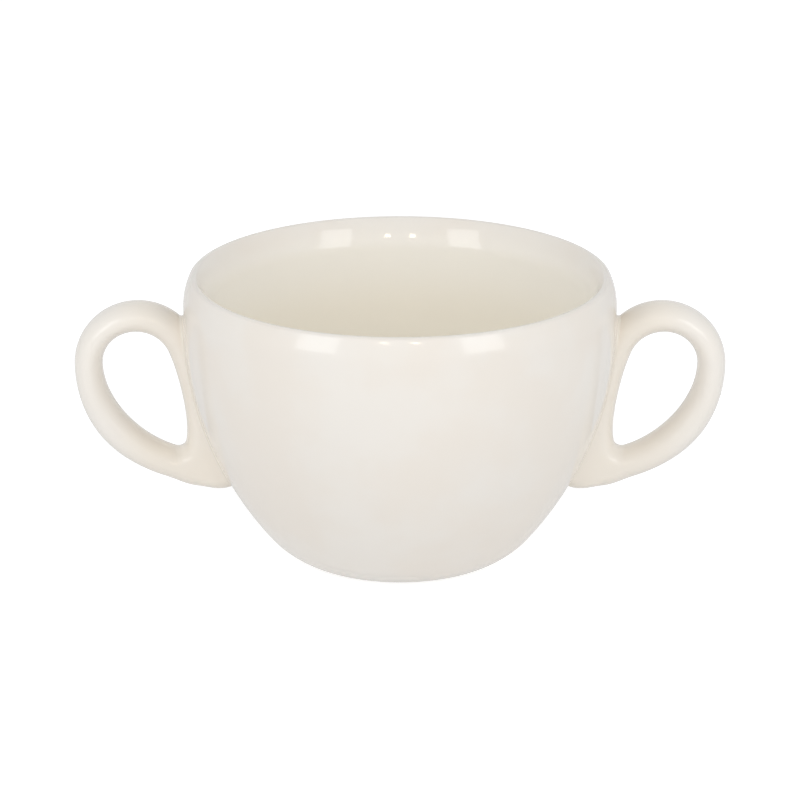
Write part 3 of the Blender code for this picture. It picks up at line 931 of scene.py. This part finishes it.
class SOUPBOWL_OT_body(bpy.types.Operator):
    """Turn the bowl's body from its profile"""
    bl_idname = "soupbowl.body"
    bl_label = "Body"

    def execute(self, context):
        body = context.scene.soup_bowl_body
        piece = turn_profile("porcelain_body", body_profile(body))
        round_foot_edges(piece, body)
        glaze = ivory_glazed_porcelain(body, context.scene.soup_bowl_glazes)
        finish_piece(piece, glaze, "bowl")
        return {"FINISHED"}


class SOUPBOWL_OT_handles(bpy.types.Operator):
    """Loft one ring handle, trim it to the wall and copy it to the other side"""
    bl_idname = "soupbowl.handles"
    bl_label = "Handles"

    def execute(self, context):
        body = context.scene.soup_bowl_body
        handle = context.scene.soup_bowl_handle
        glaze = cream_glazed_porcelain(context.scene.soup_bowl_glazes)
        right = loft_ring("right_ring_handle", body, handle)
        trim_to_wall(right, body, handle)
        left = copy_to_left(right, "left_ring_handle")
        finish_piece(right, glaze, "right_handle")
        finish_piece(left, glaze, "left_handle")
        return {"FINISHED"}


class SOUPBOWL_OT_slip_seams(bpy.types.Operator):
    """Lay the fillet of slip round one handle's joint and copy it to the other side"""
    bl_idname = "soupbowl.slip_seams"
    bl_label = "Slip seams"

    def execute(self, context):
        body = context.scene.soup_bowl_body
        handle = context.scene.soup_bowl_handle
        glaze = pooled_and_shaded_slip_glaze(body, handle, context.scene.soup_bowl_glazes)
        right = lay_seam("right_slip_fillet", body, handle)
        left = copy_to_left(right, "left_slip_fillet")
        finish_piece(right, glaze, "right_slip_seam")
        finish_piece(left, glaze, "left_slip_seam")
        return {"FINISHED"}


class SOUPBOWL_OT_stage(bpy.types.Operator):
    """Set up the white floor, the soft light and the camera"""
    bl_idname = "soupbowl.stage"
    bl_label = "Studio"

    def execute(self, context):
        studio = context.scene.soup_bowl_studio
        clear_selection()
        bpy.ops.mesh.primitive_plane_add(size=2.0 * studio.floor_half, location=(0.0, 0.0, 0.0))
        floor = named_object("studio_floor")
        floor.data.materials.append(white_floor_paper(studio))
        light_sky(studio)
        for side, name in ((-1.0, "left"), (1.0, "right")):
            add_lamp(name + "_soft_strip", STRIP_SIZE, (side * STRIP_PLACE[0], *STRIP_PLACE[1:]),
                     STRIP_PLACE[2], studio.strip_level, studio.strip_white)
            add_lamp(name + "_warm_spot", SPOT_SIZE, (side * SPOT_PLACE[0], *SPOT_PLACE[1:]),
                     SPOT_AIM, studio.spot_level, studio.spot_warm)
        self.add_camera(context, studio)
        context.scene.view_settings.view_transform = "Standard"
        return {"FINISHED"}

    def add_camera(self, context, studio):
        """Places the camera at the picture's angle."""
        aim = Vector((0.0, 0.0, studio.aim_height))
        away = Vector((0.0, -math.cos(studio.view_elevation), math.sin(studio.view_elevation)))
        bpy.ops.object.camera_add(location=aim + studio.view_distance * away)
        camera = context.object
        camera.name = "studio_camera"
        camera.rotation_euler = (-away).to_track_quat("-Z", "Y").to_euler()
        camera.data.sensor_width = SENSOR_WIDTH
        camera.data.lens = studio.view_pixels / PHOTO_WIDTH * SENSOR_WIDTH
        context.scene.camera = camera


class SOUPBOWL_PT_panel(bpy.types.Panel):
    """Lists the soup bowl's steps in the sidebar"""
    bl_idname = "SOUPBOWL_PT_panel"
    bl_label = "Soup Bowl"
    bl_space_type = "VIEW_3D"
    bl_region_type = "UI"
    bl_category = "Soup Bowl"

    def draw(self, context):
        for step in STEPS:
            self.layout.operator(step.bl_idname)


SETTINGS = {
    "soup_bowl_body": SoupBowlBodySizes,
    "soup_bowl_handle": SoupBowlHandleSizes,
    "soup_bowl_glazes": SoupBowlGlazes,
    "soup_bowl_studio": SoupBowlStudio,
}
STEPS = (SOUPBOWL_OT_body, SOUPBOWL_OT_handles, SOUPBOWL_OT_slip_seams, SOUPBOWL_OT_stage)


def register():
    """Registers the settings, the steps and the panel."""
    for name, group in SETTINGS.items():
        bpy.utils.register_class(group)
        setattr(bpy.types.Scene, name, bpy.props.PointerProperty(type=group))
    for step in (*STEPS, SOUPBOWL_PT_panel):
        bpy.utils.register_class(step)


def unregister():
    """Takes the panel, the steps and the settings away again."""
    for step in (SOUPBOWL_PT_panel, *reversed(STEPS)):
        bpy.utils.unregister_class(step)
    for name, group in SETTINGS.items():
        delattr(bpy.types.Scene, name)
        bpy.utils.unregister_class(group)


def main():
    """Makes every piece and the studio."""
    register()
    bpy.ops.soupbowl.body()
    bpy.ops.soupbowl.handles()
    bpy.ops.soupbowl.slip_seams()
    bpy.ops.soupbowl.stage()
    clear_selection()


if __name__ == "__main__":
    main()
